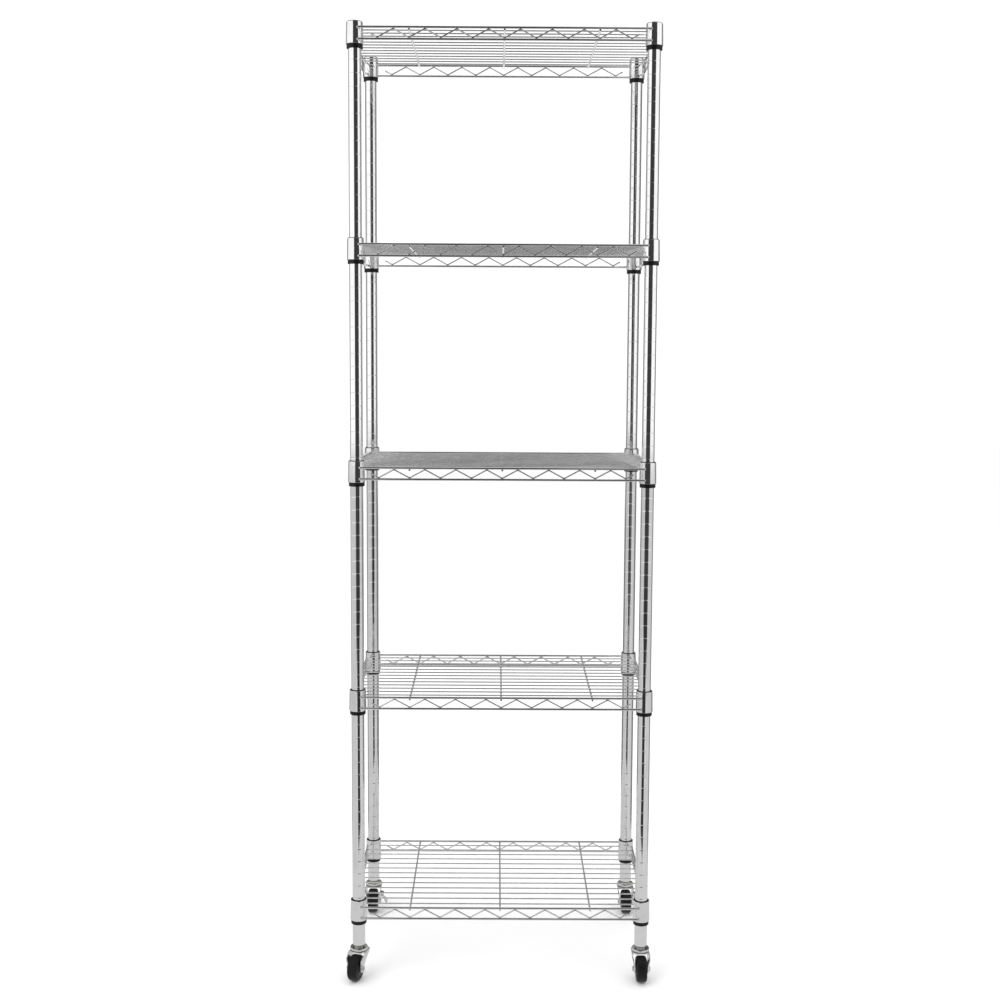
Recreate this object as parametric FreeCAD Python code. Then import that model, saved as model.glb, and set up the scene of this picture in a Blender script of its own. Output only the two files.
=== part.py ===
import FreeCAD
import Part

import math
import os

# Five-tier wire shelving rack on casters, in millimetres.
# +Z is up, +X is to the right, -Y is the front. The origin lies on the floor,
# under the middle of the rectangle made by the four post axes.

# ---------------------------------------------------------------- driving dimensions
INCH = 25.4

POST_SPACING_X = 571.2
POST_SPACING_Y = 317.6
POST_DIAMETER = 25.4
POST_WALL = 1.2
POST_FOOT_Z = 68.0
POST_LENGTH = 1820.0
GROOVE_PITCH = INCH
GROOVE_DEPTH = 0.5
GROOVE_MOUTH = 2.8
GROOVE_FLOOR = 1.6
FIRST_GROOVE_UP = 75.0
CAP_HEAD = 1.1
CAP_PLUG_LENGTH = 12.0

# Each shelf hangs on the groove with this number, counted from the lowest one.
SHELF_GROOVES = [0, 17, 35, 52, 68]
RIM_ABOVE_GROOVE = 7.0

SLEEVE_LENGTH = 50.6
SLEEVE_TOP_RADIUS = 14.8
SLEEVE_FOOT_RADIUS = 15.6
SLEEVE_BORE_RADIUS = 12.75
SLEEVE_SPLIT = 0.6
SLEEVE_PROUD = 1.1
RIB_REACH = 0.4

COLLAR_ABOVE_RIM = 12.0
COLLAR_HEIGHT = 41.5
COLLAR_TOP_RADIUS = 16.2
COLLAR_FOOT_RADIUS = 17.0
CONE_GAP = 0.08
COLLAR_SHOULDER = 0.7

RIM_WIRE = 4.6
RIM_SPACING = 22.2
FRONT_RIM_OUT = 16.5
SIDE_RIM_OUT = 12.0
RIM_END_IN = 6.5
TRUSS_WIRE = 3.0
TRUSS_PITCH = 60.4
TRUSS_BEND = 4.0
FRONT_VALLEYS = 9
SIDE_VALLEYS = 5
DECK_WIRE = 2.8
DECK_COUNT = 13
DECK_PITCH = INCH
CROSS_WIRE = 3.8
CROSS_EVERY = 3
CROSS_PROUD = 1.6
WELD_DEPTH = 0.35

WHEEL_DIAMETER = 50.8
TYRE_WIDTH = 21.0
TYRE_BORE_RADIUS = 18.0
TREAD_SHOULDER = 5.0
HUB_LENGTH = 24.6
AXLE_RADIUS = 3.0
RUNNING_GAP = 0.08
CASTER_TRAIL = 18.0
CROWN_Z = 57.0
SHEET = 2.2
FORK_TOP_HALF = 18.2
FORK_FOOT_HALF = 14.8
RACE_RADIUS = 17.7
RACE_Z = 60.4
RACE_PLATE = 2.0
RACE_SKIRT = 2.4
BALL_RADIUS = 1.8
BALL_CIRCLE = 11.0
BALL_COUNT = 12
STEM_RADIUS = 5.0
STEM_TOP_Z = 90.0
NUT_TOP_Z = 66.4

LEVER_PIVOT_X = 20.6
LEVER_PIVOT_Z = 41.0
LEVER_PIN_RADIUS = 1.5
KNUCKLE_RADIUS = 3.2
KNUCKLE_LENGTH = 11.0

# Each corner: side in X, side in Y, turn of its caster about Z in degrees, and its brake.
CORNERS = {
    "front_left": (-1, -1, -16.0, False),
    "front_right": (1, -1, 0.0, False),
    "rear_left": (-1, 1, 0.0, True),
    "rear_right": (1, 1, 0.0, True),
}

# ---------------------------------------------------------------- derived sizes
POST_RADIUS = POST_DIAMETER / 2
POST_TOP_Z = POST_FOOT_Z + POST_LENGTH
WHEEL_RADIUS = WHEEL_DIAMETER / 2
HALF_X = POST_SPACING_X / 2
HALF_Y = POST_SPACING_Y / 2
GROOVE_COUNT = SHELF_GROOVES[-1] + 1
COLLAR_FOOT = COLLAR_ABOVE_RIM - COLLAR_HEIGHT
SLEEVE_TOP = COLLAR_ABOVE_RIM + SLEEVE_PROUD
SLEEVE_FOOT = SLEEVE_TOP - SLEEVE_LENGTH
CROSS_DROP = (RIM_WIRE + CROSS_WIRE) / 2 - WELD_DEPTH
DECK_DROP = CROSS_DROP - (CROSS_WIRE + DECK_WIRE) / 2 + WELD_DEPTH
TRUSS_INSET = (RIM_WIRE + TRUSS_WIRE) / 2 - WELD_DEPTH

V = FreeCAD.Vector
UP = V(0, 0, 1)


# ---------------------------------------------------------------- shape helpers
def rod(start, end, diameter):
    """A round bar between two points."""
    run = end - start
    return Part.makeCylinder(diameter / 2, run.Length, start, run)


def lathe(outline):
    """A solid turned about Z from its (radius, height) outline."""
    corners = [V(r, 0, z) for r, z in outline]
    return Part.Face(Part.makePolygon(corners + corners[:1])).revolve(V(), UP, 360)


def plate(corners, thickness):
    """A closed outline pushed along a vector."""
    return Part.Face(Part.makePolygon(corners + corners[:1])).extrude(thickness)


def hexagon(across_flats, start, end):
    """A hexagonal bar between two points on a common axis."""
    run = end - start
    side = V(0, 0, 1) if abs(run.z) < 1 else V(1, 0, 0)
    radius = across_flats / math.sqrt(3)
    turn = FreeCAD.Rotation(run, 60)
    corner = side * radius
    corners = []
    for _ in range(6):
        corners.append(start + corner)
        corner = turn.multVec(corner)
    return plate(corners, run)


def bent_wire(corners, bend, diameter):
    """A round wire through the corners, each rounded by an arc of the bend radius."""
    edges = []
    here = corners[0]
    for before, corner, after in zip(corners, corners[1:], corners[2:]):
        back = (before - corner).normalize()
        ahead = (after - corner).normalize()
        half = back.getAngle(ahead) / 2
        setback = bend / math.tan(half)
        centre = corner + (back + ahead).normalize() * (bend / math.sin(half))
        middle = centre + (corner - centre).normalize() * bend
        start = corner + back * setback
        end = corner + ahead * setback
        edges.append(Part.LineSegment(here, start).toShape())
        edges.append(Part.Arc(start, middle, end).toShape())
        here = end
    edges.append(Part.LineSegment(here, corners[-1]).toShape())
    section = Part.makeCircle(diameter / 2, corners[0], corners[1] - corners[0])
    return Part.Wire(edges).makePipeShell([Part.Wire(section)], True, False)


def round_edges_at(solid, height, radius, only=lambda circle: True):
    """Rounds the circular edges that lie at one height."""
    chosen = []
    for edge in solid.Edges:
        if isinstance(edge.Curve, Part.Circle) and abs(edge.Curve.Center.z - height) < 0.01:
            if only(edge.Curve):
                chosen.append(edge)
    return solid.makeFillet(radius, chosen)


def at_posts(make):
    """Copies of a shape centred on Z, one at each post."""
    copies = []
    for side_x, side_y, _, _ in CORNERS.values():
        copy = make.copy()
        copy.translate(V(side_x * HALF_X, side_y * HALF_Y, 0))
        copies.append(copy)
    return copies


def raised(shapes, height):
    """Copies of the shapes moved up."""
    copies = []
    for shape in shapes:
        copy = shape.copy()
        copy.translate(V(0, 0, height))
        copies.append(copy)
    return copies


def save(name, solids):
    """Writes one node, which holds one or more separate solids."""
    whole = []
    for shape in solids:
        whole.extend(shape.Solids)
    for solid in whole:
        if not solid.isValid() or solid.Volume <= 0:
            raise ValueError(name + " holds a solid that isn't sound")
    node = whole[0] if len(whole) == 1 else Part.makeCompound(whole)
    node.exportStep(os.path.join("parts", name + ".step"))


# ---------------------------------------------------------------- posts
def groove_height(number):
    return POST_FOOT_Z + FIRST_GROOVE_UP + number * GROOVE_PITCH


def post():
    """A tube with a shallow ring groove every inch, from the first groove to the top."""
    bore = POST_RADIUS - POST_WALL
    top = POST_TOP_Z - CAP_HEAD
    outline = [(bore, POST_FOOT_Z), (POST_RADIUS, POST_FOOT_Z)]
    for number in range(GROOVE_COUNT):
        middle = groove_height(number)
        outline.append((POST_RADIUS, middle - GROOVE_MOUTH / 2))
        outline.append((POST_RADIUS - GROOVE_DEPTH, middle - GROOVE_FLOOR / 2))
        outline.append((POST_RADIUS - GROOVE_DEPTH, middle + GROOVE_FLOOR / 2))
        outline.append((POST_RADIUS, middle + GROOVE_MOUTH / 2))
    outline += [(POST_RADIUS, top), (bore, top)]
    return lathe(outline)


def post_cap():
    """A plug pressed into the tube's top, with a thin head that covers its wall."""
    bore = POST_RADIUS - POST_WALL
    seat = POST_TOP_Z - CAP_HEAD
    foot = seat - CAP_PLUG_LENGTH
    plug_wall = 1.6
    cap = lathe([
        (0, POST_TOP_Z), (POST_RADIUS - 0.2, POST_TOP_Z), (POST_RADIUS - 0.2, seat),
        (bore, seat), (bore, foot), (bore - plug_wall, foot),
        (bore - plug_wall, seat - 1.0), (0, seat - 1.0),
    ])
    return round_edges_at(cap, POST_TOP_Z, 0.7)


def foot_insert():
    """A socket pressed into the tube's foot. Its flange covers the wall, its bore takes the stem."""
    bore = POST_RADIUS - POST_WALL
    flange = POST_FOOT_Z - NUT_TOP_Z
    return lathe([
        (STEM_RADIUS, NUT_TOP_Z), (POST_RADIUS - 0.3, NUT_TOP_Z),
        (POST_RADIUS - 0.3, NUT_TOP_Z + flange), (bore, NUT_TOP_Z + flange),
        (bore, STEM_TOP_Z + 4), (STEM_RADIUS, STEM_TOP_Z + 4),
    ])


# ---------------------------------------------------------------- sleeves and collars
def sleeve_radius(height):
    """The sleeve's outer radius at a height measured from the shelf's top rim."""
    share = (SLEEVE_TOP - height) / SLEEVE_LENGTH
    return SLEEVE_TOP_RADIUS + share * (SLEEVE_FOOT_RADIUS - SLEEVE_TOP_RADIUS)


def sleeve_halves():
    """Two half shells, tapered outside, with a rib inside that sits in a post's groove."""
    rib = -RIM_ABOVE_GROOVE
    tip = SLEEVE_BORE_RADIUS - RIB_REACH
    whole = lathe([
        (SLEEVE_BORE_RADIUS, SLEEVE_FOOT), (SLEEVE_FOOT_RADIUS, SLEEVE_FOOT),
        (SLEEVE_TOP_RADIUS, SLEEVE_TOP), (SLEEVE_BORE_RADIUS, SLEEVE_TOP),
        (SLEEVE_BORE_RADIUS, rib + 1.1), (tip, rib + 0.6),
        (tip, rib - 0.6), (SLEEVE_BORE_RADIUS, rib - 1.1),
    ])
    reach = SLEEVE_FOOT_RADIUS + 5
    split = Part.makeBox(2 * reach, SLEEVE_SPLIT, 2 * SLEEVE_LENGTH,
                         V(-reach, -SLEEVE_SPLIT / 2, SLEEVE_FOOT - 10))
    return whole.cut(split).Solids


def collar_envelope():
    """The collar's outside as a solid cone, for trimming the wires that meet it."""
    return Part.makeCone(COLLAR_FOOT_RADIUS, COLLAR_TOP_RADIUS, COLLAR_HEIGHT, V(0, 0, COLLAR_FOOT))


def collar():
    """A slightly tapered ring, whose bore is a cone that drops onto the sleeve."""
    foot_bore = sleeve_radius(COLLAR_FOOT) + CONE_GAP
    top_bore = sleeve_radius(COLLAR_ABOVE_RIM) + CONE_GAP
    ring = lathe([
        (foot_bore, COLLAR_FOOT), (COLLAR_FOOT_RADIUS, COLLAR_FOOT),
        (COLLAR_TOP_RADIUS, COLLAR_ABOVE_RIM), (top_bore, COLLAR_ABOVE_RIM),
    ])
    ring = round_edges_at(ring, COLLAR_ABOVE_RIM, COLLAR_SHOULDER,
                          lambda circle: circle.Radius > top_bore + 0.5)
    return round_edges_at(ring, COLLAR_FOOT, 0.4, lambda circle: circle.Radius > foot_bore + 0.5)


# ---------------------------------------------------------------- one shelf, rim at height 0
def trimmed(wires, envelopes):
    """The wires without what lies inside the four collars."""
    return [wire.cut(envelopes) for wire in wires]


def rims():
    """A top and a bottom wire along each of the four sides, ending on the collars."""
    reach_x = HALF_X - RIM_END_IN
    reach_y = HALF_Y - SIDE_RIM_OUT / 2
    wires = []
    for height in (0, -RIM_SPACING):
        for side in (-1, 1):
            y = side * (HALF_Y + FRONT_RIM_OUT)
            wires.append(rod(V(-reach_x, y, height), V(reach_x, y, height), RIM_WIRE))
            x = side * (HALF_X + SIDE_RIM_OUT)
            wires.append(rod(V(x, -reach_y, height), V(x, reach_y, height), RIM_WIRE))
    return wires


def zigzag(valleys, place):
    """One truss wire. It touches the rims in turn, and ends free at mid height.

    place(along, height) gives the point in space.
    """
    middle = -RIM_SPACING / 2
    half = TRUSS_PITCH / 2
    swing = RIM_SPACING / 2 - TRUSS_INSET
    slant = math.atan2(2 * swing, half)
    rounding = TRUSS_BEND * (1 / math.cos(slant) - 1)
    low = middle - swing - rounding
    high = middle + swing + rounding
    first = -(valleys - 1) * half
    points = [place(first - half / 2, middle)]
    for step in range(2 * valleys - 1):
        points.append(place(first + step * half, low if step % 2 == 0 else high))
    points.append(place(-first + half / 2, middle))
    return bent_wire(points, TRUSS_BEND, TRUSS_WIRE)


def trusses():
    """The zigzag between the two rims on each side."""
    wires = []
    for side in (-1, 1):
        y = side * (HALF_Y + FRONT_RIM_OUT)
        x = side * (HALF_X + SIDE_RIM_OUT)
        wires.append(zigzag(FRONT_VALLEYS, lambda along, height: V(along, y, height)))
        wires.append(zigzag(SIDE_VALLEYS, lambda along, height: V(x, along, height)))
    return wires


def deck_wires():
    """Parallel wires from side to side, laid on the cross wires."""
    reach = HALF_X + SIDE_RIM_OUT - RIM_WIRE / 2 + WELD_DEPTH
    wires = []
    for number in range(DECK_COUNT):
        y = (number - (DECK_COUNT - 1) / 2) * DECK_PITCH
        wires.append(rod(V(-reach, y, -DECK_DROP), V(reach, y, -DECK_DROP), DECK_WIRE))
    return wires


def cross_wires():
    """Three heavier wires from front to back, below the deck and below the rims."""
    reach = HALF_Y + FRONT_RIM_OUT + CROSS_PROUD
    wires = []
    for number in (-1, 0, 1):
        x = number * CROSS_EVERY * TRUSS_PITCH
        wires.append(rod(V(x, -reach, -CROSS_DROP), V(x, reach, -CROSS_DROP), CROSS_WIRE))
    return wires


# ---------------------------------------------------------------- one caster, axis on Z
def race():
    """The fixed upper race: a disc with a turned-down skirt and a track for the balls."""
    inner = RACE_RADIUS - 1.6
    cup = lathe([
        (STEM_RADIUS, RACE_Z), (inner, RACE_Z), (inner, RACE_Z - RACE_SKIRT),
        (RACE_RADIUS, RACE_Z - RACE_SKIRT), (RACE_RADIUS, RACE_Z + RACE_PLATE),
        (STEM_RADIUS, RACE_Z + RACE_PLATE),
    ])
    cup = round_edges_at(cup, RACE_Z + RACE_PLATE, 1.2, lambda circle: circle.Radius > inner)
    return cup.cut(ball_track())


def ball_centre_z():
    return (CROWN_Z + RACE_Z) / 2


def ball_track():
    return Part.makeTorus(BALL_CIRCLE, BALL_RADIUS + 0.05, V(0, 0, ball_centre_z()))


def balls():
    """The ring of steel balls that the fork swivels on."""
    ring = []
    for number in range(BALL_COUNT):
        turn = 2 * math.pi * number / BALL_COUNT
        centre = V(BALL_CIRCLE * math.cos(turn), BALL_CIRCLE * math.sin(turn), ball_centre_z())
        ring.append(Part.makeSphere(BALL_RADIUS, centre))
    return ring


def stem():
    """Kingpin and stem in one: a riveted head under the crown, a hexagon, and a long shank."""
    head_foot = CROWN_Z - SHEET - 2.2
    head_top = CROWN_Z - SHEET - 0.3
    shank = lathe([
        (0, head_foot), (6.6, head_foot), (7.4, head_top), (STEM_RADIUS, head_top),
        (STEM_RADIUS, STEM_TOP_Z - 1), (STEM_RADIUS - 1, STEM_TOP_Z), (0, STEM_TOP_Z),
    ])
    return shank.fuse(hexagon(17.0, V(0, 0, RACE_Z + RACE_PLATE), V(0, 0, NUT_TOP_Z))).removeSplitter()


def fork(with_brake):
    """A pressed fork: a round crown and two legs that draw in towards the axle."""
    bend_z = 50.0
    waist_z = 33.0
    foot_z = WHEEL_RADIUS - 12
    depth = V(0, 80, 0)
    front = -CASTER_TRAIL - 40
    outer = [(-FORK_FOOT_HALF, foot_z), (-FORK_FOOT_HALF, waist_z), (-FORK_TOP_HALF, bend_z),
             (-FORK_TOP_HALF, CROWN_Z), (FORK_TOP_HALF, CROWN_Z), (FORK_TOP_HALF, bend_z),
             (FORK_FOOT_HALF, waist_z), (FORK_FOOT_HALF, foot_z)]
    inner = []
    for x, z in outer:
        side = 1 if x > 0 else -1
        inner.append((x - side * SHEET, min(z, CROWN_Z - SHEET)))
    inner[0] = (inner[0][0], foot_z - 5)
    inner[-1] = (inner[-1][0], foot_z - 5)
    shell = plate([V(x, front, z) for x, z in outer], depth)
    outer_bends = [edge for edge in shell.Edges if is_crown_bend(edge, FORK_TOP_HALF, CROWN_Z)]
    shell = shell.makeFillet(4.0, outer_bends)
    hollow = plate([V(x, front - 1, z) for x, z in inner], depth + V(0, 2, 0))
    inner_bends = [edge for edge in hollow.Edges
                   if is_crown_bend(edge, FORK_TOP_HALF - SHEET, CROWN_Z - SHEET)]
    hollow = hollow.makeFillet(1.8, inner_bends)
    body = shell.cut(hollow).common(fork_silhouette()).common(fork_plan())
    axle_y = -CASTER_TRAIL
    if with_brake:
        body = body.fuse(brake_lugs()).removeSplitter()
        window = Part.makeBox(20, 9, 11, V(FORK_FOOT_HALF - 10, axle_y - 4.5, 33))
        body = body.cut(window)
        pin = rod(V(LEVER_PIVOT_X, axle_y - 20, LEVER_PIVOT_Z),
                  V(LEVER_PIVOT_X, axle_y + 20, LEVER_PIVOT_Z), 2 * LEVER_PIN_RADIUS)
        body = body.cut(pin)
    axle = rod(V(-40, axle_y, WHEEL_RADIUS), V(40, axle_y, WHEEL_RADIUS), 2 * AXLE_RADIUS)
    hole = Part.makeCylinder(STEM_RADIUS + RUNNING_GAP, 20, V(0, 0, CROWN_Z - 10))
    return body.cut(axle).cut(hole).cut(ball_track())


def is_crown_bend(edge, half_width, height):
    """Is this one of the two long edges where the crown turns down into the legs?"""
    ends = [vertex.Point for vertex in edge.Vertexes]
    return len(ends) == 2 and all(
        abs(abs(point.x) - half_width) < 0.01 and abs(point.z - height) < 0.01 for point in ends)


def fork_silhouette():
    """The fork seen from the side: a crown disc's width above, a rounded end at the axle."""
    boss = 9.5
    crown = 17.0
    leg_top = 50.0
    across = V(60, 0, 0)
    axle_y = -CASTER_TRAIL
    leg = plate([
        V(-30, -crown - 1, CROWN_Z + 1), V(-30, -crown - 1, leg_top),
        V(-30, axle_y - boss, leg_top - 4.5),
        V(-30, axle_y - boss, WHEEL_RADIUS + 1), V(-30, axle_y + boss, WHEEL_RADIUS + 1),
        V(-30, crown - 6, leg_top), V(-30, crown, leg_top + 4), V(-30, crown, CROWN_Z + 1),
    ], across)
    toe = Part.makeCylinder(boss, 60, V(-30, axle_y, WHEEL_RADIUS + 1), V(1, 0, 0))
    return leg.fuse(toe).removeSplitter()


def fork_plan():
    """Rounds the crown as seen from above, and lets the legs widen below it."""
    flare_z = 43.0
    cone = Part.makeCone(36.0, 19.0, CROWN_Z + 1 - flare_z, V(0, 0, flare_z))
    below = Part.makeCylinder(80, flare_z)
    return cone.fuse(below).removeSplitter()


def brake_lugs():
    """Two ears bent out of the right leg, which hold the brake lever's pin."""
    axle_y = -CASTER_TRAIL
    ear = 2.0
    gap = KNUCKLE_LENGTH / 2 + 0.3
    inner_x = 15.2
    ears = []
    for start in (axle_y - gap - ear, axle_y + gap):
        block = Part.makeBox(LEVER_PIVOT_X - inner_x, ear, 8, V(inner_x, start, LEVER_PIVOT_Z - 4))
        eye = Part.makeCylinder(4, ear, V(LEVER_PIVOT_X, start, LEVER_PIVOT_Z), V(0, 1, 0))
        ears.append(block.fuse(eye).removeSplitter())
    return ears


def axle_bolt():
    """A bolt through both legs and the hub, with its head on the left and a nut on the right."""
    y = -CASTER_TRAIL
    z = WHEEL_RADIUS
    tail = FORK_FOOT_HALF + 3.6
    shank = rod(V(-FORK_FOOT_HALF - 1, y, z), V(tail, y, z), 2 * AXLE_RADIUS)
    head = hexagon(9.6, V(-FORK_FOOT_HALF - 3.0, y, z), V(-FORK_FOOT_HALF, y, z))
    nut = hexagon(9.6, V(FORK_FOOT_HALF, y, z), V(FORK_FOOT_HALF + 3.0, y, z))
    bolt = shank.fuse(head).removeSplitter()
    return [bolt, nut.cut(shank)]


def onto_axle(ring):
    """Turns a ring made about Z to lie about the wheel's axle."""
    ring.rotate(V(), V(0, 1, 0), 90)
    ring.translate(V(0, -CASTER_TRAIL, WHEEL_RADIUS))
    return ring


def tyre():
    half = TYRE_WIDTH / 2
    ring = lathe([(TYRE_BORE_RADIUS, -half), (WHEEL_RADIUS, -half),
                  (WHEEL_RADIUS, half), (TYRE_BORE_RADIUS, half)])
    for height in (-half, half):
        ring = round_edges_at(ring, height, TREAD_SHOULDER, lambda circle: circle.Radius > 24)
    return onto_axle(ring)


def hub():
    """A moulded hub: a rim under the tyre, a thin web, a brake flange and a long bearing boss."""
    rim_half = TYRE_WIDTH / 2
    rim_inside = TYRE_BORE_RADIUS - 2.0
    web_half = 3.0
    flange_half = 11.2
    flange = 14.6
    boss = 7.5
    bore = AXLE_RADIUS + RUNNING_GAP
    end = HUB_LENGTH / 2
    right = [(bore, end), (boss, end), (boss, flange_half), (flange, flange_half),
             (flange, web_half), (rim_inside, web_half), (rim_inside, rim_half),
             (TYRE_BORE_RADIUS, rim_half)]
    left = [(radius, -along) for radius, along in reversed(right)]
    return onto_axle(lathe(right + left))


def brake_lever():
    """A pedal on a cross pin. Its toe reaches the hub's flange through the leg's window."""
    axle_y = -CASTER_TRAIL
    thick = 2.0
    px, pz = LEVER_PIVOT_X, LEVER_PIVOT_Z
    reach = [(px, pz), (23.5, 35.5), (31.5, 21.5)]
    toe = [(px, pz), (13.0, 38.0)]
    tip_width = 20.0
    root_width = KNUCKLE_LENGTH
    pedal = strip(reach, thick, tip_width)
    plan = plate([
        V(px - 5, axle_y - root_width / 2, 0), V(px + 4.6, axle_y - root_width / 2, 0),
        V(px + 8, axle_y - tip_width / 2, 0), V(60, axle_y - tip_width / 2, 0),
        V(60, axle_y + tip_width / 2, 0), V(px + 8, axle_y + tip_width / 2, 0),
        V(px + 4.6, axle_y + root_width / 2, 0), V(px - 5, axle_y + root_width / 2, 0),
    ], V(0, 0, 80))
    knuckle = Part.makeCylinder(KNUCKLE_RADIUS, root_width,
                                V(px, axle_y - root_width / 2, pz), V(0, 1, 0))
    lever = pedal.common(plan).fuse([knuckle, strip(toe, 2.4, 7.0)])
    bore = Part.makeCylinder(LEVER_PIN_RADIUS + RUNNING_GAP, 60, V(px, axle_y - 30, pz), V(0, 1, 0))
    return lever.removeSplitter().cut(bore)


def strip(line, thickness, width):
    """A bent strip of sheet that follows an (x, z) line, centred on the axle in Y."""
    start_y = -CASTER_TRAIL - width / 2
    pieces = []
    for (x0, z0), (x1, z1) in zip(line, line[1:]):
        along = V(x1 - x0, 0, z1 - z0).normalize()
        across = V(-along.z, 0, along.x) * (thickness / 2)
        a, b = V(x0, start_y, z0), V(x1, start_y, z1)
        pieces.append(plate([a + across, b + across, b - across, a - across], V(0, width, 0)))
        pieces.append(Part.makeCylinder(thickness / 2, width, b, V(0, 1, 0)))
    return pieces[0].fuse(pieces[1:]).removeSplitter()


def brake_pin():
    axle_y = -CASTER_TRAIL
    half = KNUCKLE_LENGTH / 2 + 2.3 + 0.8
    shank = rod(V(LEVER_PIVOT_X, axle_y - half, LEVER_PIVOT_Z),
                V(LEVER_PIVOT_X, axle_y + half, LEVER_PIVOT_Z), 2 * LEVER_PIN_RADIUS)
    head = Part.makeCylinder(2.6, 0.8, V(LEVER_PIVOT_X, axle_y - half, LEVER_PIVOT_Z), V(0, 1, 0))
    return shank.fuse(head).removeSplitter()


def place_caster(solids, corner):
    """Turns a caster's piece about its stem and moves it under its post."""
    side_x, side_y, turn, _ = CORNERS[corner]
    placed = []
    for solid in solids:
        copy = solid.copy()
        copy.rotate(V(), UP, turn)
        copy.translate(V(side_x * HALF_X, side_y * HALF_Y, 0))
        placed.append(copy)
    return placed


# ---------------------------------------------------------------- nodes
def write_posts():
    shape = post()
    for corner, copy in zip(CORNERS, at_posts(shape)):
        save("post_" + corner, [copy])
    save("post_caps", at_posts(post_cap()))
    save("post_foot_inserts", at_posts(foot_insert()))


def write_shelves():
    envelopes = at_posts(collar_envelope())
    halves = []
    for half in sleeve_halves():
        halves.extend(at_posts(half))
    pieces = {
        "collars": at_posts(collar()),
        "rims": trimmed(rims(), envelopes),
        "trusses": trusses(),
        "deck_wires": trimmed(deck_wires(), envelopes),
        "cross_wires": cross_wires(),
    }
    for level, groove in enumerate(SHELF_GROOVES, start=1):
        rim_height = groove_height(groove) + RIM_ABOVE_GROOVE
        save("sleeves_" + str(level), raised(halves, rim_height))
        for name, solids in pieces.items():
            save("shelf_" + str(level) + "_" + name, raised(solids, rim_height))


def write_casters():
    save("caster_stems", at_posts(stem()))
    save("caster_races", at_posts(race()))
    rings = []
    for ball in balls():
        rings.extend(at_posts(ball))
    save("caster_balls", rings)
    for corner, (_, _, _, has_brake) in CORNERS.items():
        save("fork_" + corner, place_caster([fork(has_brake)], corner))
        save("axle_" + corner, place_caster(axle_bolt(), corner))
        save("tyre_" + corner, place_caster([tyre()], corner))
        save("hub_" + corner, place_caster([hub()], corner))
        if has_brake:
            save("brake_lever_" + corner, place_caster([brake_lever()], corner))
            save("brake_pin_" + corner, place_caster([brake_pin()], corner))


os.makedirs("parts", exist_ok=True)
write_posts()
write_shelves()
write_casters()
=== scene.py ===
import itertools
import math

import bmesh
import bpy
from mathutils import Matrix, Vector, noise


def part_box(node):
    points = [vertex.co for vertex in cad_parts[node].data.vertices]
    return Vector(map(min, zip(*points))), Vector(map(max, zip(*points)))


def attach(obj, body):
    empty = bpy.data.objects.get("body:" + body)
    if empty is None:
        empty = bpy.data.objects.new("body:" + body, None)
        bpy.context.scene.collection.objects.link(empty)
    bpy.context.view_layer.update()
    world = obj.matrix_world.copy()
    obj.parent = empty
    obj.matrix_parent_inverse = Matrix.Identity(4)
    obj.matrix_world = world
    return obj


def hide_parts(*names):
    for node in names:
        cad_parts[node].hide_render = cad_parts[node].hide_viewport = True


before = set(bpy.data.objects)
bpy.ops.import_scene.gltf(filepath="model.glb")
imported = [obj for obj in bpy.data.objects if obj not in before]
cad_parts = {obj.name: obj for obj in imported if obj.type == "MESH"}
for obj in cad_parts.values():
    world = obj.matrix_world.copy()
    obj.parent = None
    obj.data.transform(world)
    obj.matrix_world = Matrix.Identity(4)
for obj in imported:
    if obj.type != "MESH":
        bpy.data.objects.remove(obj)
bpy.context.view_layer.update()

# Lengths are in metres, in the CAD frame: +Z up, -Y the front, the origin on the floor under the rack.

# ---------------------------------------------------------------- camera
IMAGE_WIDTH = 1000.0
LENS_PIXELS = 1302.7
SENSOR = 36.0
scene = bpy.context.scene
camera_data = bpy.data.cameras.new("camera")
camera_data.sensor_width = SENSOR
camera_data.lens = LENS_PIXELS * SENSOR / IMAGE_WIDTH
camera_data.shift_y = -0.041
camera_data.clip_start = 0.05
camera_data.clip_end = 60.0
camera = bpy.data.objects.new("camera", camera_data)
scene.collection.objects.link(camera)
scene.camera = camera
camera.location = (-0.0103, -2.7028, 1.2883)
yaw, pitch, roll = math.radians(0.128), math.radians(5.215), math.radians(0.295)
forward = Vector((math.sin(yaw) * math.cos(pitch), math.cos(yaw) * math.cos(pitch), -math.sin(pitch)))
camera.rotation_mode = "QUATERNION"
level_look = forward.to_track_quat("-Z", "Y")
camera.rotation_quaternion = level_look @ Matrix.Rotation(roll, 4, "Z").to_quaternion()

# ---------------------------------------------------------------- sizes
# The CAD part has the same, but for the grooves, which are rolled softer here.
CORNERS = ["front_left", "front_right", "rear_left", "rear_right"]
POST_RADIUS = 0.0127
POST_BORE = POST_RADIUS - 0.0012
GROOVE_PITCH = 0.0254
GROOVE_DEPTH = 0.0003
FIRST_GROOVE_UP = 0.075
GROOVES = 69
CAP_HEAD = 0.0011
RIM_WIRE = 0.0046
RIM_SPACING = 0.0222
FRONT_RIM_OUT = 0.0165
SIDE_RIM_OUT = 0.012
RIM_END_IN = 0.0065
TRUSS_WIRE = 0.003
TRUSS_PITCH = 0.0604
TRUSS_BEND = 0.004
VALLEYS = {"front": 9, "side": 5}
DECK_WIRE = 0.0028
DECK_COUNT = 13
DECK_PITCH = 0.0254
DECK_DROP = 0.0009
WELD_DEPTH = 0.00035
BESIDE_COLLAR = 0.012  # a deck wire nearer to the posts' row than this ends at the collars
CROSS_WIRE = 0.0038
CROSS_DROP = 0.00385
CROSS_REACH = 0.1769
CROSS_PLACES = [column * 3 * TRUSS_PITCH for column in (-1, 0, 1)]
TRUSS_INSET = 0.00345
COLLAR_FOOT = -0.0295
COLLAR_TOP = 0.012
COLLAR_FOOT_RADIUS = 0.017
COLLAR_TOP_RADIUS = 0.0162
COLLAR_MIDDLE_RADIUS = 0.0165
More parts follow.
